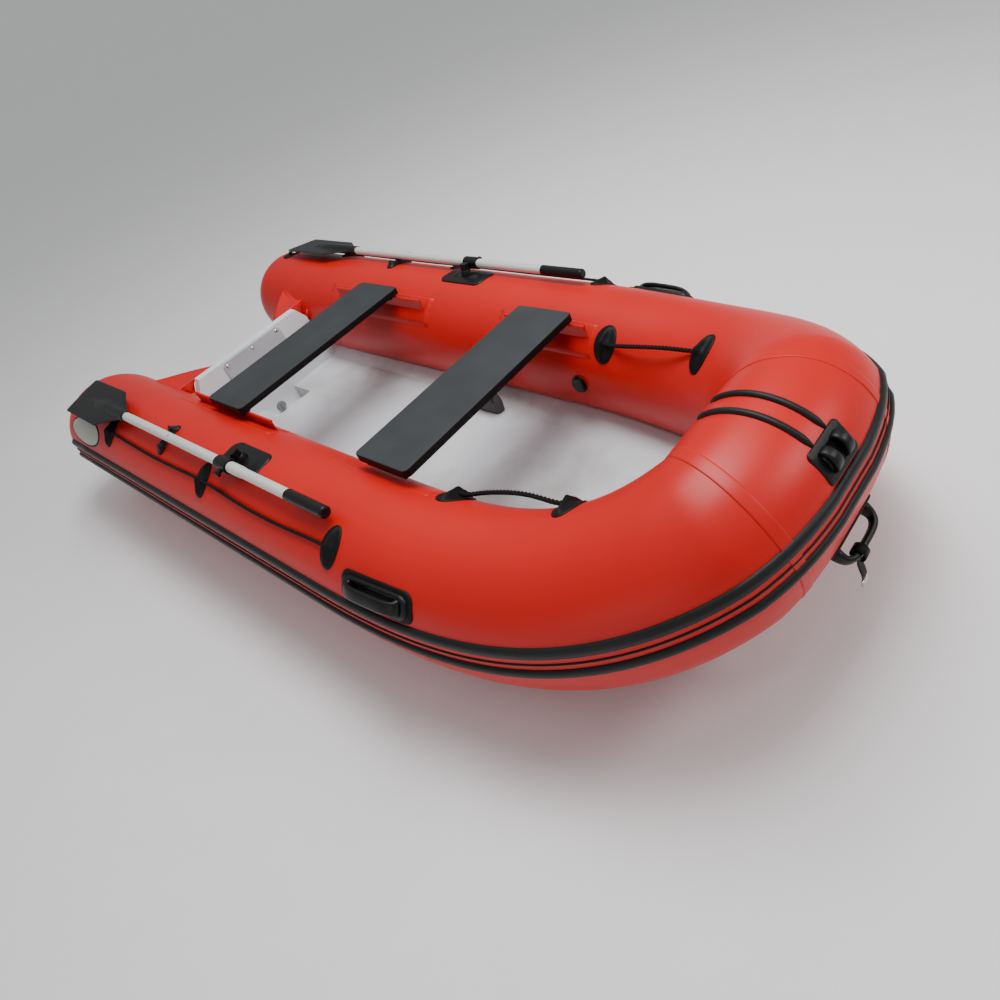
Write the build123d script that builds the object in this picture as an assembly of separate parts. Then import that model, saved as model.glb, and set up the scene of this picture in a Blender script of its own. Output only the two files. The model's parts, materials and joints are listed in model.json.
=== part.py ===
from build123d import *
import math
import os

# Inflatable dinghy with a moulded V hull: two side tubes and a bow tube in PVC fabric, a deck,
# a transom, two sliding thwarts, two oars in swivelling rowlocks, lifelines and handles.
# Millimetres. +X is the bow, +Y port, +Z up. The origin is under the middle of the boat, on the floor.
# A station is a distance forward of the aft shoulder of the side tubes.

# ---- driving dimensions ----
MIDSHIP = 1442.1                 # station of the origin
TUBE_R = 210.0                   # side tube radius
BOW_R = 205.0                    # bow tube radius
FABRIC = 1.3                     # tube fabric thickness
TUBE_Y = 494.5                   # side tube axis, off the centreline
TUBE_Z = 280.0                   # side tube axis height amidships
CURVE_START = 1850.0             # station where the side tubes start to turn in
BOW_STATION = 2850.0             # station of the bow tube axis
BOW_HALF = 178.0                 # half length of the bow tube axis
CURVE_A = (2620.0, TUBE_Y)       # control points of the turn, in plan
CURVE_B = (2780.0, 276.0)
RISE = 163.0                     # lift of the tube axis at the bow
RISE_START = 1988.0
RISE_POWER = 3.04
CONE_LENGTH = 190.0              # rounded end of each side tube
LOFT_STEPS = 10
CONE_STEPS = 14

TRANSOM_AFT = 340.0
TRANSOM_FORE = 380.0
TRANSOM_TOP = 400.0
TRANSOM_HALF = 250.0
DECK_Z = 120.0
DECK_T = 4.0
HULL_T = 5.0
KEEL_Z = 8.0
DRAIN_Y = -38.0
DRAIN_Z = 84.0
SUMP_Z = 60.0

THWART_L = 749.0
THWART_W = 238.0
THWART_T = 24.0
THWART_TOP = 510.0
REAR_THWART = 940.0              # stations of the thwart centres
FRONT_THWART = 1852.0
RAIL_Y = 352.0                   # seat rails, off the centreline
RAILS = ((642.0, 1201.0), (1668.0, 2026.0))
BEAD_R = 5.0

OAR_Y = 570.0                    # oar axis when stowed, and its height
OAR_Z = 516.0
SHAFT_R = 16.0
SHAFT_WALL = 1.8
PIVOT = 1310.0                   # station of the rowlock pin
PIVOT_TILT = 12.0                # outboard lean of the rowlock pin
PIVOT_OFFSET = 43.0              # from the pin's axis to the oar's
PIVOT_DROP = 36.0                # from the oar's axis down to the tube along the pin
CLIP = 830.0
BLADE_TIP = 85.0
BLADE_NECK = 548.0
BLADE_HALF = 82.0
SHAFT_AFT = 440.0
SHAFT_JOINT = 1400.0
GRIP_START = 1680.0
GRIP_END = 1868.0

BOW_GRIP_ANGLE = -36.0
BOW_REACH = 50.0                 # the bow handle's bar, off the tube
STRAP_Y = -30.0
STRAP_W = 25.0
STRAP_L = 72.0
LOOP_IN = 17.0                   # the strap's loop round the bar
LOOP_OUT = 19.5

LIFELINE_D = 11.0
GRAB_ROPE_D = 14.0
LIFELINE_ANGLE = 53.0            # place of the outer lifeline on the tube, above outward level
LIFELINE_PATCHES = (400.0, 1160.0, 1893.0)
GRAB_PATCHES = ((2115.0, 134.0), (2580.0, 124.0))
VALVES = ((1, 1996.0), (-1, 1996.0), (-1, 2330.0))
VALVE_ANGLE = 176.0
VALVE_R = 16.0                   # valve barrel, through the fabric
GAP = 0.3                        # clearance between pieces that move past each other
# Each ring: side (0 for the bow tube), station, angle.
RINGS = {"bow": (0, BOW_STATION, 178.0), "stern": (1, 34.0, 82.0)}

os.makedirs("parts", exist_ok=True)
SIDES = {"starboard": -1, "port": 1}


def x_at(station):
    return station - MIDSHIP


def save(name, *solids):
    """Writes one node; several solids are kept apart in one compound."""
    shape = solids[0] if len(solids) == 1 else Compound(children=list(solids))
    export_step(shape, f"parts/{name}.step")


# ---- the tubes' axis ----
class Frame:
    """A place on a tube's axis, with the directions along it, outward and up."""

    def __init__(self, origin, along, side, radius):
        self.origin = origin
        self.along = along.normalized()
        level = Vector(-self.along.Y, self.along.X, 0).normalized()
        self.out = level * side
        self.up = self.along.cross(self.out) * side
        self.radius = radius
        self.tube = side

    def point(self, angle, lift=0.0):
        """A point on the tube, angle degrees above outward level, lift off its skin."""
        return self.origin + self.normal(angle) * (self.radius + lift)

    def normal(self, angle):
        a = math.radians(angle)
        return self.out * math.cos(a) + self.up * math.sin(a)

    def plane(self, angle, lift=0.0):
        """A plane on the skin: x along the tube, z off it."""
        return Plane(self.point(angle, lift), x_dir=self.along, z_dir=self.normal(angle))


def turn_point(t, side):
    """A point of the tube's turn towards the bow, t from 0 to 1."""
    weights = ((1 - t) ** 3, 3 * (1 - t) ** 2 * t, 3 * (1 - t) * t * t, t ** 3)
    corners = ((CURVE_START, TUBE_Y), CURVE_A, CURVE_B, (BOW_STATION, BOW_HALF))
    station = sum(w * c[0] for w, c in zip(weights, corners))
    y = sum(w * c[1] for w, c in zip(weights, corners))
    climb = max(0.0, (station - RISE_START) / (BOW_STATION - RISE_START))
    return Vector(x_at(station), side * y, TUBE_Z + RISE * climb ** RISE_POWER)


def turn_frame(t, side):
    small = 0.001
    before = turn_point(max(t - small, 0), side)
    after = turn_point(min(t + small, 1), side)
    return Frame(turn_point(t, side), after - before, side, TUBE_R + (BOW_R - TUBE_R) * t)


def tube_frame(station, side):
    """The frame of a side tube at a station."""
    if station <= CURVE_START:
        return Frame(Vector(x_at(station), side * TUBE_Y, TUBE_Z), Vector(1, 0, 0), side, TUBE_R)
    low = 0.0
    high = 1.0
    for _ in range(40):
        t = (low + high) / 2
        if turn_point(t, side).X < x_at(station):
            low = t
        else:
            high = t
    return turn_frame(low, side)


def bow_frame(y, side=-1):
    """The frame of the bow tube: along points to the other side, out forward."""
    along = Vector(0, -side, 0)
    frame = Frame(Vector(x_at(BOW_STATION), y, TUBE_Z + RISE), along, side, BOW_R)
    frame.tube = 0
    return frame


def ring_frame(side, station):
    return tube_frame(station, side) if side else bow_frame(0.0)


def mitre(side):
    """The mitre between a side tube and the bow tube: its centre and unit normal."""
    centre = turn_point(1.0, side)
    turn = turn_frame(1.0, side).along + Vector(0, -side, 0)
    return centre, turn.normalized()


def mitre_point(side, u, v):
    """The point of the mitre plane at u forward and v above the bow tube's axis."""
    centre, normal = mitre(side)
    slide = -(u * normal.X + v * normal.Z) / normal.Y
    return centre + Vector(u, slide, v)


def side_frames(side, start=0.0):
    """Frames along a side tube, from a station to just short of the mitre."""
    straight = [start, start + (CURVE_START - start) / 2]
    frames = [tube_frame(s, side) for s in straight]
    return frames + [turn_frame(i / LOFT_STEPS, side) for i in range(LOFT_STEPS)]


def round_section(frame, inset):
    plane = Plane(frame.origin, x_dir=frame.out, z_dir=frame.along)
    return plane * Circle(frame.radius - inset)


def mitre_ellipse(side, inset):
    centre, normal = mitre(side)
    minor = normal.cross(Vector(0, 1, 0)).normalized()
    major = normal.cross(minor)
    if major.X < 0:
        major = major * -1
    radius = BOW_R - inset
    plane = Plane(centre, x_dir=major, z_dir=normal)
    return plane * Ellipse(radius / abs(normal.Y), radius)


def hollow(outer, inner):
    """A skin between two lofts of the same run, with flat annular ends."""
    sides = [f for skin in (outer, inner) for f in skin.faces() if f.geom_type != GeomType.PLANE]
    ends = []
    for skin in (outer, inner):
        flat = [f for f in skin.faces() if f.geom_type == GeomType.PLANE]
        ends.append(sorted(flat, key=lambda f: (round(f.center().X), f.center().Y)))
    caps = [Face(a.outer_wire(), [b.outer_wire()]) for a, b in zip(*ends)]
    return Solid(Shell(sides + caps))


SKINS = {}


def skin(tube, lift):
    """The solid within a tube's skin, lift off it: side -1 or 1, or 0 for the bow tube."""
    if (tube, lift) not in SKINS:
        sections = [mitre_ellipse(tube or 1, -lift)]
        if tube:
            sections = [round_section(f, -lift) for f in side_frames(tube)] + sections
        else:
            sections.append(mitre_ellipse(-1, -lift))
        SKINS[tube, lift] = loft(sections, ruled=True)
    return SKINS[tube, lift]


def stern_cone(side):
    profile = []
    for radius, length, order in ((TUBE_R, CONE_LENGTH, 1), (TUBE_R - FABRIC, CONE_LENGTH - FABRIC, -1)):
        turns = [math.radians(90 * i / CONE_STEPS) for i in range(CONE_STEPS + 1)][::order]
        profile += [(-length * math.sin(a), radius * math.cos(a)) for a in turns]
    cap = revolve(make_face(Polyline(*profile, close=True)), Axis.X)
    return Pos(x_at(0), side * TUBE_Y, TUBE_Z) * cap


def baffle(side, station=1700.0):
    """A dished wall between two air chambers."""
    dish = 260.0
    rim = TUBE_R - FABRIC - 0.05
    ring = Circle(dish) - Circle(dish - FABRIC)
    cap = ring & (Pos(dish / 2, rim / 2) * Rectangle(dish, rim))
    wall = revolve(cap, Axis.X)
    frame = tube_frame(station, side)
    back = frame.origin - frame.along * dish * 0.8
    return Plane(back, x_dir=frame.along, z_dir=frame.up) * wall


def strip(profile, side, start=0.0):
    """A strip along a side tube; profile lists (lift, angle) corners."""
    sections = []
    for frame in side_frames(side, start):
        corners = [frame.point(a, lift) for lift, a in profile]
        sections.append(make_face(Polyline(*corners, close=True)))
    corners = []
    for lift, a in profile:
        r = BOW_R + lift
        corners.append(mitre_point(side, r * math.cos(math.radians(a)), r * math.sin(math.radians(a))))
    sections.append(make_face(Polyline(*corners, close=True)))
    return loft(sections, ruled=True), sections[-1]


def strips(profile):
    """A strip all round: starboard, bow and port lengths."""
    starboard, face_s = strip(profile, -1)
    port, face_p = strip(profile, 1)
    return [starboard, loft([face_s, face_p], ruled=True), port]


def strake_profile(top, bottom, lift):
    """A half-round rubber section, from one angle down to another."""
    steps = 6
    arc = []
    for i in range(steps + 1):
        a = top + (bottom - top) * i / steps
        arc.append((0.2 + lift * math.sin(math.pi * i / steps) ** 0.6, a))
    return arc + [(0.2, (top + bottom) / 2)]


def seat(shape, tube, lift=0.1):
    """Hollows the underside of a piece to a tube's skin."""
    return shape - skin(tube, lift)


def wrap(block, tube, thick):
    """The layer of a block that lies on a tube's skin."""
    return seat(block & skin(tube, thick), tube)


def pad(frame, angle, length, width, thick, corner):
    """A glued pad with rounded corners, wrapped onto the tube."""
    block = Pos(0, 0, -40) * extrude(RectangleRounded(length, width, corner), 60)
    return wrap(frame.plane(angle) * block, frame.tube, thick)


# ---- tubes ----
def valve_hole(side, station):
    return tube_frame(station, side).plane(VALVE_ANGLE) * Cylinder(VALVE_R + 0.1, 60)


for name, side in SIDES.items():
    tube = hollow(skin(side, 0), skin(side, -FABRIC))
    for valve_side, station in VALVES:
        if valve_side == side:
            tube -= valve_hole(side, station)
    save(f"tube_{name}", tube)
save("tube_bow", hollow(skin(0, 0), skin(0, -FABRIC)))
save("stern_cones", stern_cone(-1), stern_cone(1))
save("baffles", baffle(-1), baffle(1))

# ---- rubbing strakes ----
upper = strips(strake_profile(21.0, 14.5, 9.0))
lower = strips(strake_profile(4.5, -2.0, 9.0))
save("rubbing_strakes", *upper, *lower)
save("strake_centre_strip", *strips([(0.2, 10.6), (3.5, 10.3), (3.5, 8.7), (0.2, 8.4)]))


def wear_strip(y):
    """A half-round strip over the bow tube."""
    frame = bow_frame(y)
    profile = Pos(BOW_R + 0.2, 0) * (Circle(9) & (Pos(4.5, 0) * Rectangle(9, 18)))
    start = frame.normal(47.8)
    spin = Axis(frame.origin, Vector(0, -1, 0))
    ring = Plane(frame.origin, x_dir=start, z_dir=start.cross(Vector(0, 1, 0))) * profile
    return revolve(ring, spin, 84)


save("bow_wear_strips", wear_strip(-30.0), wear_strip(30.0))


# ---- bow fairlead, handles and strap ----
def fairlead():
    frame = bow_frame(0.0)
    base = pad(frame, 35.0, 132, 88, 5, 18)
    plane = frame.plane(35.0, 4.0)
    return base + seat(plane * base_blocks(), 0)


def base_blocks():
    """Two rounded cheeks with a rope channel between them."""
    cheeks = []
    for x in (-27, 27):
        cheek = extrude(RectangleRounded(30, 58, 13), 24)
        cheeks.append(Pos(x, 0, 0) * fillet(cheek.edges().group_by(Axis.Z)[-1], 8))
    bed = Pos(0, 0, 2.5) * Box(40, 44, 5)
    return cheeks[0] + cheeks[1] + bed


save("bow_fairlead", fairlead())


def grip_bow(length, reach, bar, foot):
    """A moulded carry handle: a bar on two feet, standing off its pad."""
    path = FilletPolyline(
        (-length / 2, 0, 0), (-length / 2 + reach * 0.35, 0, reach),
        (length / 2 - reach * 0.35, 0, reach), (length / 2, 0, 0), radius=reach * 0.4)
    profile = Plane(origin=path @ 0, z_dir=path % 0) * RectangleRounded(bar, foot, bar * 0.4)
    return sweep(profile, path=path)


def side_handle(side):
    frame = tube_frame(2092.0, side)
    angle = 34.2
    plate = pad(frame, angle, 260, 82, 5, 26)
    grip = Pos(0, 0, -2) * grip_bow(190, 32, 16, 34)
    grip = seat(frame.plane(angle) * grip, side, 5.05)
    return plate, grip


handles = [side_handle(s) for s in SIDES.values()]
bow = bow_frame(0.0)
bow_pad = pad(bow, BOW_GRIP_ANGLE, 190, 88, 5, 24)
bow_grip = bow.plane(BOW_GRIP_ANGLE) * (Pos(0, 0, -2) * grip_bow(150, BOW_REACH, 16, 28))
bow_grip = seat(bow_grip, 0, 5.05)
save("handle_pads", handles[0][0], handles[1][0], bow_pad)
save("side_handle_grips", handles[0][1], handles[1][1])
save("bow_handle_grip", bow_grip)

# the webbing strap that hangs from the bow handle, and its metal end
strap_eye = bow.point(BOW_GRIP_ANGLE, BOW_REACH - 2)
strap_eye = Vector(strap_eye.X, STRAP_Y, strap_eye.Z)
loop = Circle(LOOP_OUT) - Circle(LOOP_IN)
tail = Pos(0, -LOOP_IN - STRAP_L / 2) * Rectangle(2.5, STRAP_L)
across = Plane(strap_eye, x_dir=(1, 0, 0), z_dir=(0, -1, 0))
strap = extrude(across * (loop + tail), STRAP_W / 2, both=True)
tip = Pos(0, -LOOP_IN - STRAP_L - 9) * RectangleRounded(5.0, 18, 2)
save("bow_strap", strap)
save("bow_strap_tip", extrude(across * tip, STRAP_W / 2 + 1, both=True))


# ---- lifelines and grab lines ----
def rope_patch(frame, angle, length, width, tunnel, rope_d):
    """An oval patch with a moulded tunnel that the rope runs through."""
    plane = frame.plane(angle)
    base = wrap(plane * Pos(0, 0, -40) * extrude(Ellipse(width / 2, length / 2), 60), frame.tube, 4)
    bed = rope_d / 2 + 3.5
    hump_r = rope_d / 2 + 5.5
    hump = Pos(0, 0, bed) * Rot(0, 90, 0) * Cylinder(hump_r, tunnel) + Box(tunnel, 2 * hump_r, 2 * bed)
    body = base + seat(plane * hump, frame.tube)
    return body - plane * Pos(0, 0, bed) * Rot(0, 90, 0) * Cylinder(rope_d / 2 + 0.4, 200)


patches = []
for side in SIDES.values():
    for s in LIFELINE_PATCHES:
        patches.append(rope_patch(tube_frame(s, side), LIFELINE_ANGLE, 112, 62, 34, LIFELINE_D))
save("lifeline_patches", *patches)

patches = []
for side in SIDES.values():
    for s, angle in GRAB_PATCHES:
        patches.append(rope_patch(tube_frame(s, side), angle, 118, 84, 30, GRAB_ROPE_D))
save("grab_line_patches", *patches)

# Each point of a rope's route is (station, angle on the tube, lift of its axis off the skin).
ROPE_BED = LIFELINE_D / 2 + 3.5
GRAB_BED = GRAB_ROPE_D / 2 + 3.5
LIFELINE_ROUTE = [
    (408, 53, ROPE_BED), (490, 53, 9.2), (585, 52.2, 8.6), (690, 51.6, 8.4), (800, 51.2, 8.6),
    (905, 51.5, 8.2), (1005, 52.1, 8.5), (1090, 53, 9.0), (1160, 53, ROPE_BED), (1232, 52.9, 9.2),
    (1320, 51.8, 8.4), (1420, 50.6, 8.8), (1530, 50.1, 8.3), (1640, 50.5, 8.7), (1735, 51.6, 8.3),
    (1815, 52.8, 9.0), (1884, 53, ROPE_BED)]
GRAB_ROUTE = [
    (2115, 134, GRAB_BED), (2140, 134, GRAB_BED), (2180, 133.4, 18), (2225, 132.4, 28), (2285, 131, 36),
    (2350, 129.4, 40), (2415, 127.8, 38), (2470, 126.4, 30), (2516, 125.2, 19), (2556, 124, GRAB_BED),
    (2580, 124, GRAB_BED)]


def rope(route, side, diameter):
    """A rope's core: straight runs joined by arcs as large as the runs allow."""
    pts = [tube_frame(s, side).point(a, lift) for s, a, lift in route]
    radii = []
    for before, here, after in zip(pts, pts[1:], pts[2:]):
        turn = math.radians((here - before).get_angle(after - here))
        run = min((here - before).length, (after - here).length)
        radii.append(0.45 * run / math.tan(turn / 2))
    path = FilletPolyline(*pts, radius=radii)
    section = Plane(origin=path @ 0, z_dir=path % 0) * Circle(diameter / 2)
    body = sweep(section, path=path)
    print("rope", round(path.length), "mm, least radius", round(min(radii)), "volume ratio",
          round(body.volume / (math.pi * diameter ** 2 / 4 * path.length), 4))
    return body


for name, side in SIDES.items():
    save(f"lifeline_rope_{name}", rope(LIFELINE_ROUTE, side, LIFELINE_D))
    save(f"grab_rope_{name}", rope(GRAB_ROUTE, side, GRAB_ROPE_D))


# ---- thwarts and their rails ----
def board(station):
    plate = Pos(x_at(station), 0, THWART_TOP - THWART_T) * extrude(
        RectangleRounded(THWART_W, THWART_L, 18), THWART_T)
    return fillet(plate.edges().group_by(Axis.Z)[-1], 4)


BEAD_Z = THWART_TOP - THWART_T - 11.0


def slides(station):
    """Two grooved blocks under a thwart that run on the rails' beads."""
    blocks = []
    for side in SIDES.values():
        slot = Circle(BEAD_R + 0.6) + Pos(0, -6) * Rectangle(6.6, 12)
        profile = Pos(0, 2) * Rectangle(30, 18) - slot
        plane = Plane((x_at(station) - 90, side * RAIL_Y, BEAD_Z), x_dir=(0, 1, 0), z_dir=(1, 0, 0))
        blocks.append(extrude(plane * profile, 180))
    return blocks


def rail(side, start, end):
    """A seat rail: a glued tape with a web and a bead along its top."""
    frame = tube_frame(0.0, side)
    angle = math.degrees(math.acos((RAIL_Y - TUBE_Y) / TUBE_R))
    half = 12.0
    outer = TUBE_R + 2.0
    tape = [frame.point(angle + half * (i / 4 - 1), 0.15) for i in range(9)]
    tape += [frame.point(angle - half * (i / 4 - 1), 2.0) for i in range(9)]
    tape = make_face(Polyline(*tape, close=True))
    foot = TUBE_Z + outer * math.sin(math.radians(angle)) - 1.0
    web_h = BEAD_Z - foot
    across = Plane((x_at(0.0), side * RAIL_Y, foot), x_dir=(0, 1, 0), z_dir=(1, 0, 0))
    web = across * (Pos(0, web_h / 2) * Rectangle(4.0, web_h) + Pos(0, web_h) * Circle(BEAD_R))
    length = end - start
    body = extrude(web, length) + extrude(tape, length, dir=(1, 0, 0))
    return seat(Pos(start, 0, 0) * body, side)


save("thwart_rear", board(REAR_THWART))
save("thwart_front", board(FRONT_THWART))
save("thwart_slides_rear", *slides(REAR_THWART))
save("thwart_slides_front", *slides(FRONT_THWART))
save("seat_rails", *[rail(side, *ends) for side in SIDES.values() for ends in RAILS])


# ---- hull, deck and transom ----
# Each row: station, keel height, floor height, half width of the flat floor.
HULL_ROWS = (
    (TRANSOM_FORE, 8, 120, 290), (1000, 8, 120, 277), (1600, 8, 120, 261), (2000, 14, 120, 232),
    (2130, 28, 120, 186), (2300, 59, 133, 150), (2450, 99, 150, 120), (2600, 150, 194, 80))
HULL_NOSE = (2695, 258, 296, 58)
NOSE_HALF = 70.0
NOSE_EDGE = 292.0
CHINE_OUT = 0.9                  # the chine's place, as shares of the hull's half width and depth
CHINE_UP = 0.24


def hull_edge(station):
    """Half width and height of the hull's upper edge, just clear of the tubes."""
    frame = tube_frame(station, 1)
    half = frame.origin.Y - 166.0 / frame.out.Y
    return half, frame.origin.Z - 138.0


def hull_rows():
    rows = [(*row, *hull_edge(row[0])) for row in HULL_ROWS]
    return rows + [(*HULL_NOSE, NOSE_HALF, NOSE_EDGE)]


def section_face(station, corners):
    return make_face(Polyline(*[(x_at(station), y, z) for y, z in corners], close=True))


def mirrored(points):
    """A closed outline from its port half, listed from the middle outward."""
    return points + [(-y, z) for y, z in reversed(points) if y > 0]


def hull_shell():
    sections = []
    for station, keel, _, _, half, edge in hull_rows():
        chine = (half * CHINE_OUT, keel + (edge - keel) * CHINE_UP)
        outer = [(0, keel), chine, (half, edge - 3)]
        inner = [(half - HULL_T, edge - 3), (chine[0] - HULL_T + 1, chine[1] + HULL_T), (0, keel + HULL_T)]
        port = outer + inner
        starboard = [(-y, z) for y, z in reversed(port) if y > 0]
        sections.append(section_face(station, port + starboard))
    return loft(sections, ruled=True)


def deck_liner():
    sections = []
    for station, _, floor, flat, half, edge in hull_rows():
        top = [(flat, floor), (half - 1, edge + 4)]
        under = [(half - 1, edge + 0.2), (flat, floor - DECK_T)]
        port = top + under
        starboard = [(-y, z) for y, z in reversed(port)]
        sections.append(section_face(station, port + starboard))
    deck = loft(sections, ruled=True)
    aft = x_at(TRANSOM_FORE)
    wall = 3.0
    hollow_side = [(aft - 1, SUMP_Z), (aft + 70, SUMP_Z), (aft + 135, DECK_Z + 1), (aft - 1, DECK_Z + 1)]
    pan_side = [(aft, SUMP_Z - wall), (aft + 71, SUMP_Z - wall), (aft + 139, DECK_Z), (aft, DECK_Z)]
    middle = Plane((0, -25, 0), x_dir=(1, 0, 0), z_dir=(0, -1, 0))
    cavity = extrude(middle * make_face(Polyline(*hollow_side, close=True)), 85, both=True)
    pan = extrude(middle * make_face(Polyline(*pan_side, close=True)), 85 + wall, both=True)
    return (deck + pan) - cavity


def runner(y, foot, top_half, z_top, slope):
    """A rubbing strip under the hull, from the transom to where the keel lifts."""
    start = TRANSOM_FORE + 40
    tops = [(y + top_half, z_top + slope * top_half), (y, z_top), (y - top_half, z_top - slope * top_half)]
    if y == 0:
        tops[2] = (-top_half, z_top + slope * top_half)
    outline = [(y - foot, 0), (y + foot, 0)] + tops
    face = section_face(start, outline)
    return extrude(face, 1640 - start, dir=(1, 0, 0))


edge_half, edge_z = hull_edge(1000)
chine_y = edge_half * CHINE_OUT
chine_z = KEEL_Z + (edge_z - KEEL_Z) * CHINE_UP
deadrise = (chine_z - KEEL_Z) / chine_y
runner_y = 235.0
runner_top = KEEL_Z + deadrise * runner_y - 0.4
save("hull_shell", hull_shell())
save("hull_runners", runner(0, 18, 20, KEEL_Z - 0.4, deadrise), runner(runner_y, 10, 14, runner_top, deadrise),
     runner(-runner_y, 10, 14, runner_top, -deadrise))
save("deck_liner", deck_liner())


def transom_side():
    """The port half of the transom's outline, from the keel up."""
    outline = [(0, KEEL_Z), (chine_y, chine_z), (edge_half, edge_z - 3)]
    for z in (165.0, 190.0, 220.0, 255.0, 300.0):
        outline.append((TUBE_Y - math.sqrt((TUBE_R + 3) ** 2 - (TUBE_Z - z) ** 2), z))
    return outline + [(281, 345), (TRANSOM_HALF, TRANSOM_TOP)]


SCREWS = [(y, z) for y in (-126.0, 0.0, 126.0) for z in (300.0, 376.0)]
SCREW_R = 4.0
PAD_T = 6.0


def transom():
    half = transom_side()
    outline = half + [(-y, z) for y, z in reversed(half) if y > 0]
    board_face = section_face(TRANSOM_AFT, outline)
    body = extrude(board_face, TRANSOM_FORE - TRANSOM_AFT - GAP, dir=(1, 0, 0))
    middle = x_at(TRANSOM_AFT + 20)
    body -= Pos(middle, DRAIN_Y, DRAIN_Z) * Rot(0, 90, 0) * Cylinder(16.05, 60)
    for y, z in SCREWS:
        body -= Pos(middle, y, z) * Rot(0, 90, 0) * Cylinder(SCREW_R + 0.05, 80)
    return body


def sunk_head(x, y, z, slack):
    """A countersunk head whose wide end faces aft."""
    bottom = (Align.CENTER, Align.CENTER, Align.MIN)
    return Pos(x, y, z) * Rot(0, 90, 0) * Cone(8 + slack, SCREW_R + slack, 4, align=bottom)


def motor_pad(x, width, height, centre_z, sunk):
    plane = Plane((x, 0, centre_z), x_dir=(0, 1, 0), z_dir=(1, 0, 0))
    plate = extrude(plane * RectangleRounded(width, height, 24), PAD_T)
    for y, z in SCREWS:
        plate -= Pos(x, y, z) * Rot(0, 90, 0) * Cylinder(SCREW_R + 0.05, 40)
        if sunk:
            plate -= sunk_head(x, y, z, 0.05)
    return plate


def screw(y, z):
    """A through bolt that clamps both pads, domed inside and flush outside."""
    start = x_at(TRANSOM_AFT) - PAD_T
    span = TRANSOM_FORE - TRANSOM_AFT + 2 * PAD_T
    shank = Pos(start + span / 2 + 1, y, z) * Rot(0, 90, 0) * Cylinder(SCREW_R, span)
    head = Pos(start + span, y, z) * Rot(0, 90, 0) * Cone(8, 5, 4, align=(Align.CENTER, Align.CENTER, Align.MIN))
    return shank + head + sunk_head(start + 0.05, y, z, 0)


save("transom_board", transom())
inner_pad = motor_pad(x_at(TRANSOM_FORE), 290, 128, 330, False)
outer_pad = motor_pad(x_at(TRANSOM_AFT) - PAD_T, 300, 160, 316, True)
save("motor_pads", inner_pad, outer_pad)
save("transom_screws", *[screw(y, z) for y, z in SCREWS])


def gusset(side):
    """A fabric web from the transom's top to the tube, with a concave free edge."""
    aft = x_at(165)
    face_x = x_at(TRANSOM_AFT) - PAD_T - 1
    root = side * 330.0
    tail = side * 160.0
    free = ThreePointArc((aft, side * 322.0), (x_at(262), side * 238.0), (face_x, tail))
    rest = Polyline((face_x, tail), (face_x, root), (aft, root), (aft, side * 322.0))
    web = Pos(0, 0, TRANSOM_TOP - 8) * extrude(make_face(free + rest), 6)
    return seat(web, side)


save("transom_gussets", gusset(-1), gusset(1))


# ---- drain ----
def along_x(x, y, z, *shapes):
    """Solids of revolution about X, from (start, end, radius) rows."""
    total = None
    for start, end, radius in shapes:
        bar = Pos(x + (start + end) / 2, y, z) * Rot(0, 90, 0) * Cylinder(radius, end - start)
        total = bar if total is None else total + bar
    return total


drain_x = x_at(TRANSOM_FORE)
socket = along_x(drain_x, DRAIN_Y, DRAIN_Z, (0, 4, 22), (-44, 0, 16))
socket -= along_x(drain_x, DRAIN_Y, DRAIN_Z, (-46, 6, 12.5))
plug = along_x(drain_x, DRAIN_Y, DRAIN_Z, (-30, 4 + GAP, 12.44), (4 + GAP, 10, 19))
plug += Pos(drain_x + 14, DRAIN_Y, DRAIN_Z) * Box(9, 5, 24)
save("drain_socket", socket)
save("drain_plug", plug)


# ---- valves ----
def valve(side, station):
    plane = tube_frame(station, side).plane(VALVE_ANGLE)
    bottom = (Align.CENTER, Align.CENTER, Align.MIN)
    body = seat(plane * Pos(0, 0, -8) * Cylinder(31, 12, align=bottom), side)
    body += plane * Pos(0, 0, -18) * Cylinder(VALVE_R, 21, align=bottom)
    body -= plane * Pos(0, 0, -14) * Cylinder(10.05, 30, align=bottom)
    cap = Pos(0, 0, -13) * Cylinder(10, 18, align=bottom) + Pos(0, 0, 4 + GAP) * Cylinder(25, 9, align=bottom)
    return body, plane * cap


valves = [valve(side, station) for side, station in VALVES]
save("valve_seats", *[v[0] for v in valves])
for name, v in zip(("port", "starboard", "bow"), valves):
    save(f"valve_cap_{name}", v[1])


# ---- D rings ----
RING_R = 3.0
RING_LIFT = 9.0


def ring_set(side, station, angle):
    """A ring's patch with its keeper, and the ring, lying along the skin."""
    frame = ring_frame(side, station)
    plane = frame.plane(angle)
    down = -1 if plane.y_dir.Z > 0 else 1
    base = pad(frame, angle, 64, 84, 3, 28)
    keeper = Rot(0, 90, 0) * Cylinder(7, 22) + Pos(0, 0, -4) * Box(22, 14, 8)
    keeper -= Rot(0, 90, 0) * Cylinder(RING_R + 0.06, 40)
    keeper = seat(plane * Pos(0, 0, RING_LIFT) * keeper, side)
    path = (Pos(0, down * 16, 0) * RectangleRounded(44, 32, 9)).wire()
    bent = sweep(Plane(origin=path @ 0, z_dir=path % 0) * Circle(RING_R), path=path)
    return base + keeper, plane * Pos(0, 0, RING_LIFT) * bent


ring_sets = {name: ring_set(*place) for name, place in RINGS.items()}
for name, pair in ring_sets.items():
    save(f"d_ring_patch_{name}", pair[0])
    save(f"d_ring_{name}", pair[1])


# ---- oars and rowlocks ----
LEAN = math.radians(PIVOT_TILT)


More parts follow.
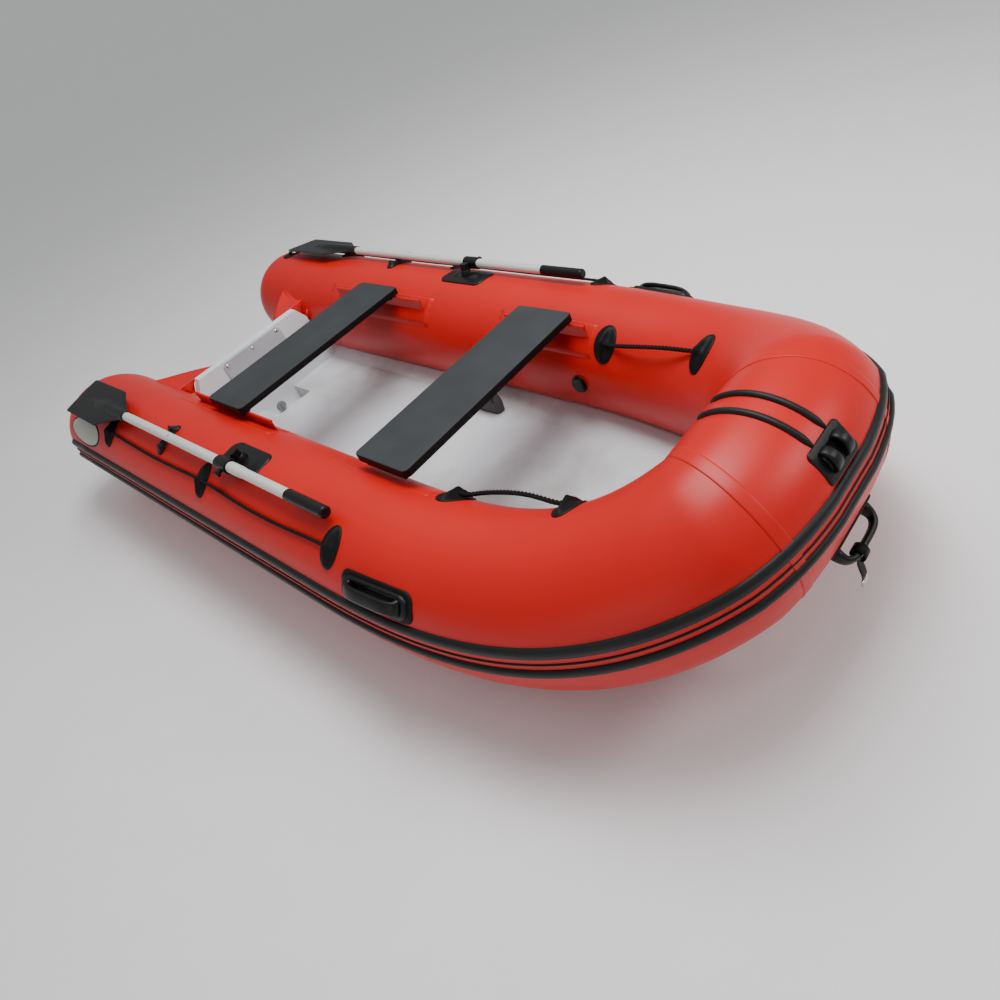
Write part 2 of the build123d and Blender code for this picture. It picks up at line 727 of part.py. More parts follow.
def lock_plane(side):
    """The rowlock's plane: x forward, z up the pin, origin on the pin where it meets the tube."""
    up = Vector(0, side * math.sin(LEAN), math.cos(LEAN))
    out = Vector(0, side * math.cos(LEAN), -math.sin(LEAN))
    oar = Vector(x_at(PIVOT), side * OAR_Y, OAR_Z)
    return Plane(oar - out * PIVOT_OFFSET - up * PIVOT_DROP, x_dir=(1, 0, 0), z_dir=up)


def oar_plane(side, station):
    """The oar's plane at a station: x forward, z off the tube, origin on the oar's axis."""
    up = Vector(0, side * math.sin(LEAN), math.cos(LEAN))
    return Plane((x_at(station), side * OAR_Y, OAR_Z), x_dir=(1, 0, 0), z_dir=up)


def shaft_bar(start, end, radius):
    length = end - start
    return Pos(length / 2, 0, 0) * Rot(0, 90, 0) * Cylinder(radius, length)


def rowlock(side):
    plane = lock_plane(side)
    frame = tube_frame(PIVOT, side)
    bottom = (Align.CENTER, Align.CENTER, Align.MIN)
    base = pad(frame, 83.0, 226, 104, 5, 30)
    post = Pos(0, 0, -20) * Cylinder(17, 44, align=bottom)
    for x in (-40, 40):
        hump = extrude(RectangleRounded(52, 36, 16), 31)
        post += Pos(x, 0, -20) * fillet(hump.edges().group_by(Axis.Z)[-1], 6)
    base += seat(plane * post, side)
    base -= plane * Pos(0, 0, 1.5) * Cylinder(8.05, 40, align=bottom)
    head = Pos(0, side * 0.5, 24 + GAP + 12) * Box(28, 27, 24)
    head = fillet(head.edges().filter_by(Axis.Z), 6)
    pin = Pos(0, 0, 2) * Cylinder(8, 26, align=bottom) + head
    pin -= Pos(0, 0, PIVOT_DROP) * Rot(90, 0, 0) * Cylinder(5.05, 60)
    return base, plane * pin


def collar(side):
    ring = Rot(0, 90, 0) * Cylinder(23, 68)
    arm_out = PIVOT_OFFSET - 20
    arm_in = PIVOT_OFFSET + 12
    ring += Pos(0, -side * (arm_out + arm_in) / 2, 0) * Rot(90, 0, 0) * Cylinder(5, arm_in - arm_out)
    ring += Pos(0, side * 25, 0) * Rot(90, 0, 0) * Cylinder(8, 12)
    ring -= Rot(0, 90, 0) * Cylinder(SHAFT_R + 0.1, 100)
    ring -= Pos(0, side * 25, 0) * Rot(90, 0, 0) * Cylinder(4.05, 30)
    knob = Pos(0, side * 25.8, 0) * Rot(90, 0, 0) * Cylinder(4, 16)
    knob += Pos(0, side * (31 + GAP + 4.5), 0) * Rot(90, 0, 0) * extrude(RegularPolygon(12, 6), 4.5, both=True)
    plane = oar_plane(side, PIVOT)
    return plane * ring, plane * knob


def blade(side):
    root = BLADE_TIP
    outline = [(0, -70), (6, -78), (300, -BLADE_HALF), (330, -78), (430, -20), (430, 20), (330, 78),
               (300, BLADE_HALF), (6, 78), (0, 70)]
    flat = extrude(make_face(Polyline(*outline, close=True)), 3.2, both=True)
    rib = Pos(230, 0, 0) * Rot(0, 90, 0) * Cone(5, 20, 300)
    neck_start = 380
    neck = Pos(neck_start, 0, 0) * shaft_bar(0, BLADE_NECK - root - neck_start, 20)
    body = flat + rib + neck
    bore = SHAFT_AFT - root
    body -= Pos(bore - 0.5, 0, 0) * shaft_bar(0, 300, SHAFT_R + 0.1)
    return oar_plane(side, root) * body


def shaft_lower(side):
    tube = shaft_bar(SHAFT_AFT, SHAFT_JOINT, SHAFT_R) - shaft_bar(SHAFT_AFT, SHAFT_JOINT, SHAFT_R - SHAFT_WALL)
    return oar_plane(side, SHAFT_AFT) * tube


def shaft_upper(side):
    start = SHAFT_JOINT + GAP
    end = GRIP_END - 10
    tube = shaft_bar(start, end, SHAFT_R)
    sleeve = Pos(-50, 0, 0) * shaft_bar(0, 70, SHAFT_R + 1.8)
    sleeve -= Pos(-60, 0, 0) * shaft_bar(0, 60, SHAFT_R + 0.1)
    body = tube + sleeve - Pos(-1, 0, 0) * shaft_bar(start, end + 2, SHAFT_R - SHAFT_WALL)
    return oar_plane(side, start) * body


def oar_grip(side):
    length = GRIP_END - GRIP_START
    sleeve = shaft_bar(0, length, 18)
    sleeve = fillet(sleeve.edges().sort_by(Axis.X)[-1], 7)
    sleeve -= Pos(-1, 0, 0) * shaft_bar(0, length - 8, SHAFT_R + 0.1)
    return oar_plane(side, GRIP_START) * sleeve


def oar_clip(side):
    """A saddle that the stowed oar's shaft rests over."""
    frame = tube_frame(CLIP, side)
    base = pad(frame, 71.0, 44, 118, 5, 20)
    cradle = Pos(0, 0, -SHAFT_R - 0.6 - 20) * Box(30, 42, 40)
    cradle = oar_plane(side, CLIP) * cradle
    return base + seat(cradle, side)


for name, side in SIDES.items():
    lock, pin = rowlock(side)
    ring, knob = collar(side)
    save(f"rowlock_base_{name}", lock)
    save(f"rowlock_pin_{name}", pin)
    save(f"oar_collar_{name}", ring)
    save(f"oar_knob_{name}", knob)
    save(f"oar_shaft_lower_{name}", shaft_lower(side))
    save(f"oar_shaft_upper_{name}", shaft_upper(side))
    save(f"oar_blade_{name}", blade(side))
    save(f"oar_grip_{name}", oar_grip(side))
save("oar_clips", *[oar_clip(side) for side in SIDES.values()])

# ---- stowed pouch, on the floor under the front thwart ----
pouch = Pos(x_at(1523), 230, DECK_Z + GAP + 42) * Box(132, 48, 84)
save("pouch", fillet(pouch.edges(), 12))
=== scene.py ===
import json
import math

import bmesh
import bpy
from mathutils import Matrix, Vector


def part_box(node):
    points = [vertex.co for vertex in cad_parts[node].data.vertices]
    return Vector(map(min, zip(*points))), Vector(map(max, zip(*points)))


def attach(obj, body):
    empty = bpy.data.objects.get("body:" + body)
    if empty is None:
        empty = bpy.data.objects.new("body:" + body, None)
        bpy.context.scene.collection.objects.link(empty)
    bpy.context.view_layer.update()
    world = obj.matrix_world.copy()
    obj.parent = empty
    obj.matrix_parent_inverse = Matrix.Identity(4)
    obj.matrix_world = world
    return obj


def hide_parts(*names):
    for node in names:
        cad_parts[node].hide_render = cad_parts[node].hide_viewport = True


# The looks of an inflatable dinghy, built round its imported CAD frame. Metres; +X bow, +Y port, +Z up.
# A station is a distance forward of the side tubes' aft shoulder. An angle on a tube is in degrees
# above outward level, so 90 is its crown and 180 its inner side.

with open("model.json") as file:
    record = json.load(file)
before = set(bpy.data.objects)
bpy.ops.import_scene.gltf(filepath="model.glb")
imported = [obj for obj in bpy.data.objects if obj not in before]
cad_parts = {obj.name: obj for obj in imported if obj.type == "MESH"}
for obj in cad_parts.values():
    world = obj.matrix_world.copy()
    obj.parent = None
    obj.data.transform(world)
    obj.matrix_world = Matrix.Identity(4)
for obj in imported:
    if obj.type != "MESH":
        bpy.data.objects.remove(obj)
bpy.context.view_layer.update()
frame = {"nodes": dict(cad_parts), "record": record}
SIDES = {"starboard": -1, "port": 1}

# ---- the tubes' run, as the CAD part has it ----
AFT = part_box("stern_cones")[1].x        # x of station 0
TUBE_R = 0.210
BOW_R = 0.205
TUBE_Y = 0.4945
TUBE_Z = 0.280
CONE_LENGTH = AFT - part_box("stern_cones")[0].x
TURN = ((1.850, TUBE_Y), (2.620, TUBE_Y), (2.780, 0.276), (2.850, 0.178))
CURVE_START = TURN[0][0]
BOW_STATION, BOW_HALF = TURN[3]
RISE = 0.163
RISE_START = 1.988
RISE_POWER = 3.04


class Place:
    """A place on a tube's axis, with the directions along it, outward and up."""

    def __init__(self, origin, along, side, radius):
        self.origin = origin
        self.along = along.normalized()
        self.out = Vector((-self.along.y, self.along.x, 0)).normalized() * side
        self.up = self.along.cross(self.out) * side
        self.radius = radius

    def normal(self, angle):
        a = math.radians(angle)
        return self.out * math.cos(a) + self.up * math.sin(a)

    def point(self, angle, lift=0.0):
        return self.origin + self.normal(angle) * (self.radius + lift)

    def matrix(self, angle, lift=0.0):
        """x along the tube, y round it, z off its skin."""
        z = self.normal(angle)
        y = z.cross(self.along)
        m = Matrix((self.along, y, z)).transposed().to_4x4()
        m.translation = self.point(angle, lift)
        return m


def turn_point(t, side):
    weights = ((1 - t) ** 3, 3 * (1 - t) ** 2 * t, 3 * (1 - t) * t * t, t ** 3)
    station = sum(w * c[0] for w, c in zip(weights, TURN))
    y = sum(w * c[1] for w, c in zip(weights, TURN))
    climb = max(0.0, (station - RISE_START) / (BOW_STATION - RISE_START))
    return Vector((AFT + station, side * y, TUBE_Z + RISE * climb ** RISE_POWER))


def turn_place(t, side):
    step = 0.001
    before = turn_point(max(t - step, 0), side)
    after = turn_point(min(t + step, 1), side)
    return Place(turn_point(t, side), after - before, side, TUBE_R + (BOW_R - TUBE_R) * t)


def tube_place(station, side):
    if station <= CURVE_START:
        return Place(Vector((AFT + station, side * TUBE_Y, TUBE_Z)), Vector((1, 0, 0)), side, TUBE_R)
    low = 0.0
    high = 1.0
    for _ in range(30):
        t = (low + high) / 2
        if turn_point(t, side).x < AFT + station:
            low = t
        else:
            high = t
    return turn_place(low, side)


def bow_place(y):
    return Place(Vector((AFT + BOW_STATION, y, TUBE_Z + RISE)), Vector((0, 1, 0)), -1, BOW_R)


def mitre_point(side, angle, lift):
    """A point of the mitre plane between a side tube and the bow tube."""
    centre = turn_point(1.0, side)
    normal = (turn_place(1.0, side).along + Vector((0, -side, 0))).normalized()
    u = (BOW_R + lift) * math.cos(math.radians(angle))
    v = (BOW_R + lift) * math.sin(math.radians(angle))
    return centre + Vector((u, -(u * normal.x + v * normal.z) / normal.y, v))


def side_sections(side, straight=12, turn=36):
    """Functions of (angle, lift) that give the side tube's sections from station 0 to the bow."""
    found = []
    for i in range(straight):
        found.append(tube_place(CURVE_START * i / straight, side).point)
    for i in range(turn):
        found.append(turn_place(0.985 * i / (turn - 1), side).point)
    return found


MITRE_STEPS = 6                 # sections from the boat's middle to a mitre
BOW_SPACING = 0.028


def all_sections():
    """Sections all round the boat, from the starboard quarter over the bow to the port quarter."""
    found = side_sections(-1)
    found.append(lambda a, lift: mitre_point(-1, a, lift))
    for i in range(1 - MITRE_STEPS, MITRE_STEPS):
        found.append(bow_place(BOW_SPACING * i).point)
    found.append(lambda a, lift: mitre_point(1, a, lift))
    return found + side_sections(1)[::-1]


def soften(rows, passes=7):
    """Rounds the corners that the mitres would leave, since pressure rounds the fabric there."""
    middle = len(rows) // 2
    for _ in range(passes):
        for mitre in (middle - MITRE_STEPS, middle + MITRE_STEPS):
            old = [list(rows[mitre + k]) for k in range(-3, 4)]
            for k in range(1, 6):
                rows[mitre + k - 3] = [(a + b * 2 + c) / 4 for a, b, c in zip(old[k - 1], old[k], old[k + 1])]
    return rows


# ---- materials ----
def material(name, colour, rough, grain=900.0, bump=0.15, vary=0.1, patch=6.0, metal=0.0, shine=0.5,
             rough_vary=0.06, stretch=(1, 1, 1), edge=None, stain=None):
    """A procedural finish: colour drift, a fine grain, uneven gloss, and optional dark sides or stains."""
    m = bpy.data.materials.new(name)
    m.use_nodes = True
    n = m.node_tree.nodes
    link = m.node_tree.links.new
    shader = n["Principled BSDF"]
    shader.inputs["Metallic"].default_value = metal
    shader.inputs["Specular IOR Level"].default_value = shine
    place = n.new("ShaderNodeTexCoord")
    spread = n.new("ShaderNodeMapping")
    spread.inputs["Scale"].default_value = stretch
    link(place.outputs["Object"], spread.inputs["Vector"])
    drift = n.new("ShaderNodeTexNoise")
    drift.inputs["Scale"].default_value = patch
    drift.inputs["Detail"].default_value = 6
    link(spread.outputs["Vector"], drift.inputs["Vector"])
    ramp = n.new("ShaderNodeMapRange")
    ramp.inputs["From Min"].default_value = 0.3
    ramp.inputs["From Max"].default_value = 0.7
    ramp.inputs["To Min"].default_value = 1 - vary
    ramp.inputs["To Max"].default_value = 1 + vary
    link(drift.outputs["Fac"], ramp.inputs["Value"])
    tint = n.new("ShaderNodeVectorMath")
    tint.operation = "SCALE"
    tint.inputs[0].default_value = colour
    link(ramp.outputs["Result"], tint.inputs["Scale"])
    last = tint.outputs["Vector"]
    if edge:
        flat = n.new("ShaderNodeNewGeometry")
        split = n.new("ShaderNodeSeparateXYZ")
        link(flat.outputs["Normal"], split.inputs["Vector"])
        top = n.new("ShaderNodeMapRange")
        top.inputs["From Min"].default_value = 0.75
        top.inputs["From Max"].default_value = 0.97
        link(split.outputs["Z"], top.inputs["Value"])
        mix = n.new("ShaderNodeMix")
        mix.data_type = "RGBA"
        mix.inputs["A"].default_value = (*edge, 1)
        link(top.outputs["Result"], mix.inputs["Factor"])
        link(last, mix.inputs["B"])
        last = mix.outputs["Result"]
    if stain:
        marks = n.new("ShaderNodeTexNoise")
        marks.inputs["Scale"].default_value = 2.6
        marks.inputs["Detail"].default_value = 9
        marks.inputs["Roughness"].default_value = 0.62
        link(place.outputs["Object"], marks.inputs["Vector"])
        near = n.new("ShaderNodeMapRange")
        near.inputs["From Min"].default_value = 0.5
        near.inputs["From Max"].default_value = 0.72
        near.inputs["To Max"].default_value = 0.8
        link(marks.outputs["Fac"], near.inputs["Value"])
        mix = n.new("ShaderNodeMix")
        mix.data_type = "RGBA"
        mix.inputs["B"].default_value = (*stain, 1)
        link(near.outputs["Result"], mix.inputs["Factor"])
        link(last, mix.inputs["A"])
        last = mix.outputs["Result"]
    link(last, shader.inputs["Base Color"])
    gloss = n.new("ShaderNodeMapRange")
    gloss.inputs["To Min"].default_value = rough - rough_vary
    gloss.inputs["To Max"].default_value = rough + rough_vary
    link(drift.outputs["Fac"], gloss.inputs["Value"])
    link(gloss.outputs["Result"], shader.inputs["Roughness"])
    fine = n.new("ShaderNodeTexNoise")
    fine.inputs["Scale"].default_value = grain
    fine.inputs["Detail"].default_value = 3
    link(spread.outputs["Vector"], fine.inputs["Vector"])
    relief = n.new("ShaderNodeBump")
    relief.inputs["Strength"].default_value = bump
    relief.inputs["Distance"].default_value = 0.0006
    link(fine.outputs["Fac"], relief.inputs["Height"])
    link(relief.outputs["Normal"], shader.inputs["Normal"])
    return m


RED = (0.56, 0.0045, 0.0025)
MATERIALS = {
    "red_fabric": material("Red_PVC_fabric", RED, 0.40, grain=1500, bump=0.10, vary=0.05, patch=2.2,
                           shine=0.34),
    "black_fabric": material("Black_patch_fabric", (0.0050, 0.0056, 0.0056), 0.52, grain=650, bump=0.3,
                             vary=0.2, shine=0.16),
    "black_rubber": material("Black_strake_rubber", (0.0090, 0.0094, 0.0094), 0.46, grain=420, bump=0.2,
                             vary=0.2, shine=0.25),
    "black_plastic": material("Black_moulded_plastic", (0.0048, 0.0052, 0.0054), 0.36, grain=1300, bump=0.35,
                              vary=0.2, shine=0.28),
    "dark_board": material("Dark_board_laminate", (0.036, 0.040, 0.042), 0.55, grain=1100, bump=0.45,
                           vary=0.12, patch=9, edge=(0.003, 0.003, 0.003), shine=0.2),
    "gelcoat": material("White_gelcoat", (0.66, 0.70, 0.73), 0.38, grain=260, bump=0.05, vary=0.05, shine=0.4,
                        stain=(0.42, 0.42, 0.41)),
    "grey_plastic": material("Grey_pad_plastic", (0.46, 0.49, 0.52), 0.5, grain=600, bump=0.25, shine=0.3),
    "rope": material("Black_rope_fibre", (0.0045, 0.0042, 0.0045), 0.75, grain=1800, bump=0.7, vary=0.35,
                     shine=0.2),
    "alloy": material("Satin_alloy_tube", (0.66, 0.67, 0.63), 0.42, grain=500, bump=0.12, vary=0.05,
                      metal=0.2, stretch=(0.06, 1, 1)),
    "steel": material("Stainless_steel", (0.62, 0.62, 0.62), 0.2, grain=700, bump=0.08, metal=1.0),
}
BADGE_FIELD = material("Badge_field", (0.42, 0.41, 0.36), 0.4, grain=800)
POUCH_FINISH = material("Pouch_fabric", (0.085, 0.085, 0.088), 0.7, grain=900, bump=0.4, shine=0.2)
TRANSOM_FINISH = material("Transom_gelcoat", (0.74, 0.79, 0.82), 0.34, grain=260, bump=0.05, vary=0.04,
                          shine=0.4)
DRAIN_FINISH = material("Drain_plastic", (0.23, 0.25, 0.24), 0.5, grain=700, bump=0.25, shine=0.3)
FINISHES = {"transom_board": TRANSOM_FINISH, "drain_plug": DRAIN_FINISH, "drain_socket": DRAIN_FINISH}

SLOTS = {s["node"]: s["material_slot"] for s in frame["record"]["subparts"]}
for name, node in frame["nodes"].items():
    node.data.materials.clear()
    node.data.materials.append(FINISHES.get(name) or MATERIALS[SLOTS[name]])


# ---- mesh makers ----
def piece(name, verts, faces, slot, body="boat", nodes=(), smooth=True, finish=None):
    """A mesh object that rides on a body and stands for some CAD nodes."""
    mesh = bpy.data.meshes.new(name)
    mesh.from_pydata([tuple(v) for v in verts], [], faces)
    mesh.validate()
    tidy = bmesh.new()
    tidy.from_mesh(mesh)
    bmesh.ops.recalc_face_normals(tidy, faces=tidy.faces)
    tidy.to_mesh(mesh)
    tidy.free()
    for poly in mesh.polygons:
        poly.use_smooth = smooth
    mesh.materials.append(finish or MATERIALS[slot])
    o = bpy.data.objects.new(name, mesh)
    bpy.context.scene.collection.objects.link(o)
    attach(o, body)
    if nodes:
        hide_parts(*nodes)
    return o


class Build:
    """Vertices and faces gathered from several closed shells, for one piece."""

    def __init__(self):
        self.verts = []
        self.faces = []

    def rows(self, rows, loop=True, caps=True):
        """A skin over rows of points of equal length; loop closes each row."""
        base = len(self.verts)
        n = len(rows[0])
        for row in rows:
            self.verts += list(row)
        for i in range(len(rows) - 1):
            for j in range(n if loop else n - 1):
                k = (j + 1) % n
                a = base + i * n
                self.faces.append((a + j, a + k, a + n + k, a + n + j))
        if caps and loop:
            for i in (0, len(rows) - 1):
                start = base + i * n
                centre = sum((Vector(v) for v in rows[i]), Vector()) / n
                self.verts.append(centre)
                c = len(self.verts) - 1
                self.faces += [(start + j, start + (j + 1) % n, c) for j in range(n)]
        return self

    def dome(self, centre_top, rings, centre_bottom):
        """A closed shell from a top point through rings to a bottom point."""
        base = len(self.verts)
        n = len(rings[0])
        self.rows(rings, caps=False)
        self.verts += [centre_top, centre_bottom]
        top = len(self.verts) - 2
        last = base + (len(rings) - 1) * n
        for j in range(n):
            self.faces.append((base + j, base + (j + 1) % n, top))
            self.faces.append((last + j, last + (j + 1) % n, top + 1))
        return self

    def make(self, name, slot, **kwargs):
        return piece(name, self.verts, self.faces, slot, **kwargs)


def rounded_rect(length, width, corner, steps=6):
    """Outline points of a rounded rectangle about the origin."""
    points = []
    for k, (cx, cy) in enumerate(((1, 1), (-1, 1), (-1, -1), (1, -1))):
        for i in range(steps + 1):
            a = math.radians(90 * k + 90 * i / steps)
            points.append((cx * (length / 2 - corner) + corner * math.cos(a),
                           cy * (width / 2 - corner) + corner * math.sin(a)))
    return points


def oval(length, width, steps=44):
    return [(length / 2 * math.cos(2 * math.pi * i / steps), width / 2 * math.sin(2 * math.pi * i / steps))
            for i in range(steps)]


def side_skin(side, station, angle):
    """Maps (u along the tube, v round it, lift) near a place to points."""
    here = tube_place(station, side)

    def mapped(u, v, lift):
        at = tube_place(station + u * here.along.x, side)
        return at.point(angle + math.degrees(v / TUBE_R), lift)
    return mapped


def bow_skin(y, angle):
    def mapped(u, v, lift):
        return bow_place(y + u).point(angle + math.degrees(v / BOW_R), lift)
    return mapped


RINGS = (0.06, 0.14, 0.22, 0.3, 0.38, 0.46, 0.54, 0.62, 0.7, 0.78, 0.86, 0.92, 0.96, 0.985, 1.0)


def wrapped(build, skin, outline, height, sink=0.0015, rings=RINGS):
    """A closed patch on a tube: the outline, filled by shrinking rings, at height(u, v, share)."""
    rows = []
    for r in rings:
        rows.append([skin(u * r, v * r, height(u * r, v * r, r)) for u, v in outline])
    rows.append([skin(u, v, -sink) for u, v in outline])
    build.dome(skin(0, 0, height(0, 0, 0)), rows, skin(0, 0, -sink))
    return build


def plateau(thick, edge=0.9):
    """A flat patch with a rounded edge."""
    def height(u, v, r):
        if r <= edge:
            return thick
        k = (r - edge) / (1 - edge)
        return thick * math.sqrt(max(0.0, 1 - k * k)) if k < 1 else thick * 0.25
    return height


def bell(x, width):
    return math.exp(-(x / width) ** 2)


def shelf(x, half, soft):
    """About 1 within half of zero, falling to 0 over soft."""
    k = (half + soft - abs(x)) / (2 * soft)
    k = min(1.0, max(0.0, k))
    return k * k * (3 - 2 * k)


def sweep(build, points, across, section):
    """A bar along points; across gives a direction across it and section its (a, b) outline, by share."""
    rows = []
    count = len(points)
    for i, p in enumerate(points):
        tangent = (points[min(i + 1, count - 1)] - points[max(i - 1, 0)]).normalized()
        a = across(i / (count - 1))
        a = (a - tangent * a.dot(tangent)).normalized()
        b = tangent.cross(a)
        rows.append([p + a * x + b * y for x, y in section(i / (count - 1))])
    return build.rows(rows)


# ---- camera and lights ----
def camera():
    data = bpy.data.cameras.new("Camera")
    data.sensor_width = 36
    data.lens = 28.765
    data.shift_x = -0.10
    data.shift_y = -0.10
    data.clip_end = 200
    o = bpy.data.objects.new("Camera", data)
    bpy.context.scene.collection.objects.link(o)
    angle = Vector((2.2068, 0.5593, -0.6867))
    turn = Matrix.Rotation(angle.length, 3, angle)
    right, down, forward = turn.row
    axes = Matrix((right, -down, -forward)).transposed().to_4x4()
    axes.translation = Vector((AFT + 3.6544, -1.0655, 1.6571 + 0.07))
    o.matrix_world = axes
    bpy.context.scene.camera = o


def area_light(name, place, target, size, power, colour=(1, 1, 1)):
    data = bpy.data.lights.new(name, "AREA")
    data.shape = "RECTANGLE"
    data.size, data.size_y = size
    data.energy = power
    data.color = colour
    o = bpy.data.objects.new(name, data)
    bpy.context.scene.collection.objects.link(o)
    o.location = place
    o.rotation_euler = (Vector(target) - Vector(place)).to_track_quat("-Z", "Y").to_euler()


camera()
area_light("Key_overhead", (0.5, 0.7, 3.8), (0.3, 0.1, 0.3), (3.0, 1.4), 150)
area_light("Bow_window", (4.2, 2.2, 3.0), (1.2, 0, 0.4), (1.2, 1.0), 60, (1, 0.98, 0.97))
area_light("Fill_starboard", (1.6, -4.2, 1.3), (0.4, 0, 0.3), (3.0, 1.2), 12)


def studio_world():
    """Bright overhead, dim near the horizon, as under a ceiling of lights."""
    world = bpy.data.worlds.new("Studio")
    world.use_nodes = True
    n = world.node_tree.nodes
    link = world.node_tree.links.new
    place = n.new("ShaderNodeTexCoord")
    split = n.new("ShaderNodeSeparateXYZ")
    link(place.outputs["Generated"], split.inputs["Vector"])
    ramp = n.new("ShaderNodeMapRange")
    ramp.inputs["From Min"].default_value = 0.0
    ramp.inputs["From Max"].default_value = 0.9
    ramp.inputs["To Min"].default_value = 0.14
    ramp.inputs["To Max"].default_value = 0.62
    link(split.outputs["Z"], ramp.inputs["Value"])
    link(ramp.outputs["Result"], n["Background"].inputs["Strength"])
    n["Background"].inputs["Color"].default_value = (0.97, 0.98, 1.0, 1)
    bpy.context.scene.world = world


studio_world()


def studio_floor(steps=48):
    """A level floor that sweeps up gently far from the boat, so that no edge shows."""
    verts = [(0, 0, 0)]
    faces = []
    heights = ((12, 0), (20, 0.25), (32, 1.5), (46, 4.2), (60, 8.6))
    for ring, (reach, z) in enumerate(heights):
        for i in range(steps):
            a = 2 * math.pi * i / steps
            verts.append((reach * math.cos(a), reach * math.sin(a), z))
            here = 1 + ring * steps + i
            after = 1 + ring * steps + (i + 1) % steps
            faces.append((0, here, after) if ring == 0 else (here - steps, here, after, after - steps))
    mesh = bpy.data.meshes.new("Floor")
    mesh.from_pydata(verts, [], faces)
    for poly in mesh.polygons:
        poly.use_smooth = True
    mesh.materials.append(material("Pale_floor", (0.88, 0.88, 0.88), 0.7, grain=60, bump=0.05, vary=0.01))
    floor = bpy.data.objects.new("Floor", mesh)
    bpy.context.scene.collection.objects.link(floor)


studio_floor()


# ---- ropes ----
LIFELINE_D = 0.011
GRAB_ROPE_D = 0.014
LIFELINE_BED = LIFELINE_D / 2 + 0.0035
GRAB_BED = GRAB_ROPE_D / 2 + 0.0035
LIFELINE_ROUTE = (
    (0.408, 53, LIFELINE_BED), (0.490, 53, 0.0092), (0.585, 52.2, 0.0086), (0.690, 51.6, 0.0084),
    (0.800, 51.2, 0.0086), (0.905, 51.5, 0.0082), (1.005, 52.1, 0.0085), (1.090, 53, 0.0090),
    (1.160, 53, LIFELINE_BED), (1.232, 52.9, 0.0092), (1.320, 51.8, 0.0084), (1.420, 50.6, 0.0088),
    (1.530, 50.1, 0.0083), (1.640, 50.5, 0.0087), (1.735, 51.6, 0.0083), (1.815, 52.8, 0.0090),
    (1.884, 53, LIFELINE_BED))
GRAB_ROUTE = (
    (2.115, 134, GRAB_BED), (2.140, 134, GRAB_BED), (2.180, 133.4, 0.018), (2.225, 132.4, 0.028),
    (2.285, 131, 0.036), (2.350, 129.4, 0.040), (2.415, 127.8, 0.038), (2.470, 126.4, 0.030),
    (2.516, 125.2, 0.019), (2.556, 124, GRAB_BED), (2.580, 124, GRAB_BED))


def route_line(points):
    """Points read from the smooth NURBS line of a route."""
    curve = bpy.data.curves.new("route", "CURVE")
    curve.dimensions = "3D"
    curve.resolution_u = 24
    spline = curve.splines.new("NURBS")
    spline.points.add(len(points) - 1)
    for slot, p in zip(spline.points, points):
        slot.co = (*p, 1)
    spline.order_u = 3
    spline.use_endpoint_u = True
    o = bpy.data.objects.new("route", curve)
    bpy.context.scene.collection.objects.link(o)
    bpy.context.view_layer.update()
    mesh = bpy.data.meshes.new_from_object(o.evaluated_get(bpy.context.evaluated_depsgraph_get()))
    line = [v.co.copy() for v in mesh.vertices]
    bpy.data.meshes.remove(mesh)
    bpy.data.objects.remove(o)
    bpy.data.curves.remove(curve)
    return line


def even(line, step):
    """The same line with points about a step apart."""
    total = sum((b - a).length for a, b in zip(line, line[1:]))
    count = max(2, round(total / step))
    points = [line[0]]
    gone = 0.0
    want = total / count
    for a, b in zip(line, line[1:]):
        run = (b - a).length
        while gone + run >= want - 1e-9 and len(points) < count:
            points.append(a + (b - a) * ((want - gone) / run))
            want += total / count
        gone += run
    return points + [line[-1]], total


def rope(name, route, side, diameter, pitch, node):
    """Three laid strands along a route."""
    line = route_line([tube_place(s, side).point(a, lift) for s, a, lift in route])
    points, total = even(line, 0.004)
    strand_r = diameter * 0.26
    offset = diameter / 2 - strand_r
    build = Build()
    lift = Vector((0, 0, 1))
    for k in range(3):
        rows = []
        gone = 0.0
        for i, p in enumerate(points):
            tangent = (points[min(i + 1, len(points) - 1)] - points[max(i - 1, 0)]).normalized()
            a = (lift - tangent * lift.dot(tangent)).normalized()
            b = tangent.cross(a)
            turn = 2 * math.pi * (gone / pitch + k / 3)
            centre = p + (a * math.cos(turn) + b * math.sin(turn)) * offset
            ring = [2 * math.pi * j / 8 for j in range(8)]
            rows.append([centre + (a * math.cos(q) + b * math.sin(q)) * strand_r for q in ring])
            if i + 1 < len(points):
                gone += (points[i + 1] - p).length
        build.rows(rows)
    o = build.make(name, "rope", nodes=[node])
    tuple(line[0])


for name, side in SIDES.items():
    rope(f"Lifeline_{name}", LIFELINE_ROUTE, side, LIFELINE_D, 0.034, f"lifeline_rope_{name}")
    rope(f"Grab_line_{name}", GRAB_ROUTE, side, GRAB_ROPE_D, 0.040, f"grab_rope_{name}")


# ---- tubes ----
def buoyancy_tube():
    """The whole inflated tube, one closed skin with domed quarters."""
    steps = 96
    angles = [360 * i / steps for i in range(steps)]
    rows = []

    def dome(side):
        found = []
        for i in range(1, 20):
            a = math.radians(90 * i / 20)
            x = AFT - CONE_LENGTH * math.cos(a)
            r = TUBE_R * math.sin(a)
            here = Place(Vector((x, side * TUBE_Y, TUBE_Z)), Vector((1, 0, 0)), side, r)
            found.append([here.point(q) for q in angles])
        return found

    rows += dome(-1)
    rows += soften([[section(q, 0.0) for q in angles] for section in all_sections()])
    rows += dome(1)[::-1]
    build = Build()
    tip = Vector((AFT - CONE_LENGTH, 0, TUBE_Z))
    first = tip + Vector((0, -TUBE_Y, 0))
    last = tip + Vector((0, TUBE_Y, 0))
    build.dome(first, rows, last)
    build.make("Buoyancy_tube", "red_fabric",
               nodes=["tube_starboard", "tube_port", "tube_bow", "stern_cones"])


